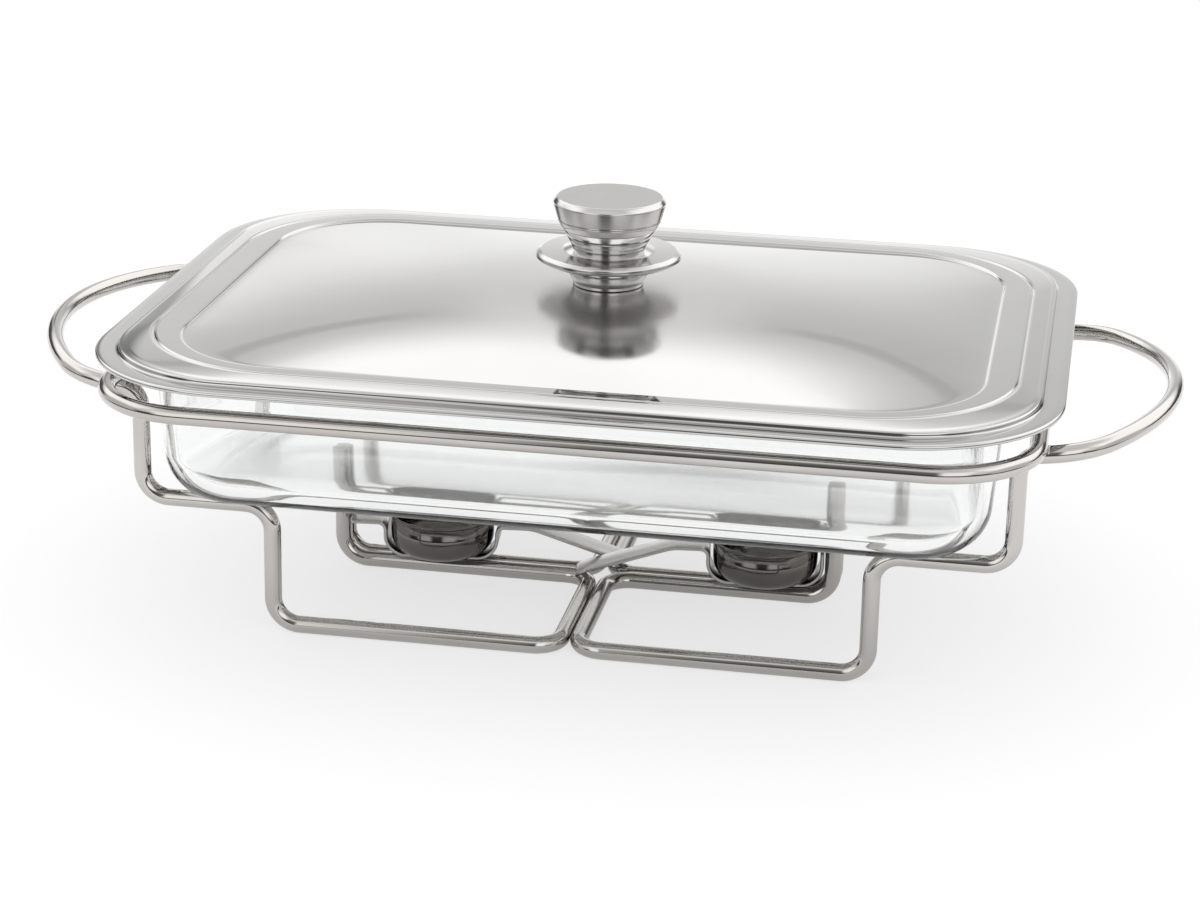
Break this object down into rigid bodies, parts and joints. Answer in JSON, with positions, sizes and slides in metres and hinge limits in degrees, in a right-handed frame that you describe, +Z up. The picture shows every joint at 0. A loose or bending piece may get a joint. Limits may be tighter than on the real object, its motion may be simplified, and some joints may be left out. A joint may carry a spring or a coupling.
{
  "type": "chafing dish",
  "caption": "Oblong glass serving dish in a bent-wire stand with bow handles, a stepped steel lift-off lid with a knob, and burner cups cradled in straps below.",
  "frame": {"origin": "on the table under the middle of the dish", "axes": "+X along the length from handle to handle, +Z up, front towards -Y"},
  "size_m": [0.4372, 0.263, 0.1569],
  "materials": {
    "lid_steel": "polished stainless sheet",
    "knob_steel": "turned and polished",
    "wire_chrome": "bright",
    "dark_steel": "polished, dark",
    "clear_glass": "clear"
  },
  "bodies": {
    "lid": {"lid_shell": "lid_steel", "knob_washer": "knob_steel", "knob_screw": "knob_steel", "knob_neck": "knob_steel", "knob_disc": "knob_steel", "knob_cone": "knob_steel", "knob_collar": "knob_steel", "knob_cap": "knob_steel"},
    "dish": {"glass_dish": "clear_glass"},
    "stand": {"ring_rail": "wire_chrome", "right_handle": "wire_chrome", "left_handle": "wire_chrome", "right_front_leg": "wire_chrome", "right_rear_leg": "wire_chrome", "left_front_leg": "wire_chrome", "left_rear_leg": "wire_chrome", "right_front_foot": "wire_chrome", "right_rear_foot": "wire_chrome", "left_front_foot": "wire_chrome", "left_rear_foot": "wire_chrome", "right_strap": "dark_steel", "left_strap": "dark_steel"},
    "right_burner": {"right_cup": "dark_steel"},
    "left_burner": {"left_cup": "dark_steel"}
  },
  "joints": [
    {"name": "dish_lift", "type": "slide", "parent": "stand", "child": "dish", "axis": [0, 0, 1], "range_m": [0, 0.12]},
    {"name": "lid_lift", "type": "slide", "parent": "dish", "child": "lid", "axis": [0, 0, 1], "range_m": [0, 0.12]},
    {"name": "right_cup_lift", "type": "slide", "parent": "stand", "child": "right_burner", "axis": [0, 0, 1], "range_m": [0, 0.02]},
    {"name": "left_cup_lift", "type": "slide", "parent": "stand", "child": "left_burner", "axis": [0, 0, 1], "range_m": [0, 0.02]}
  ]
}
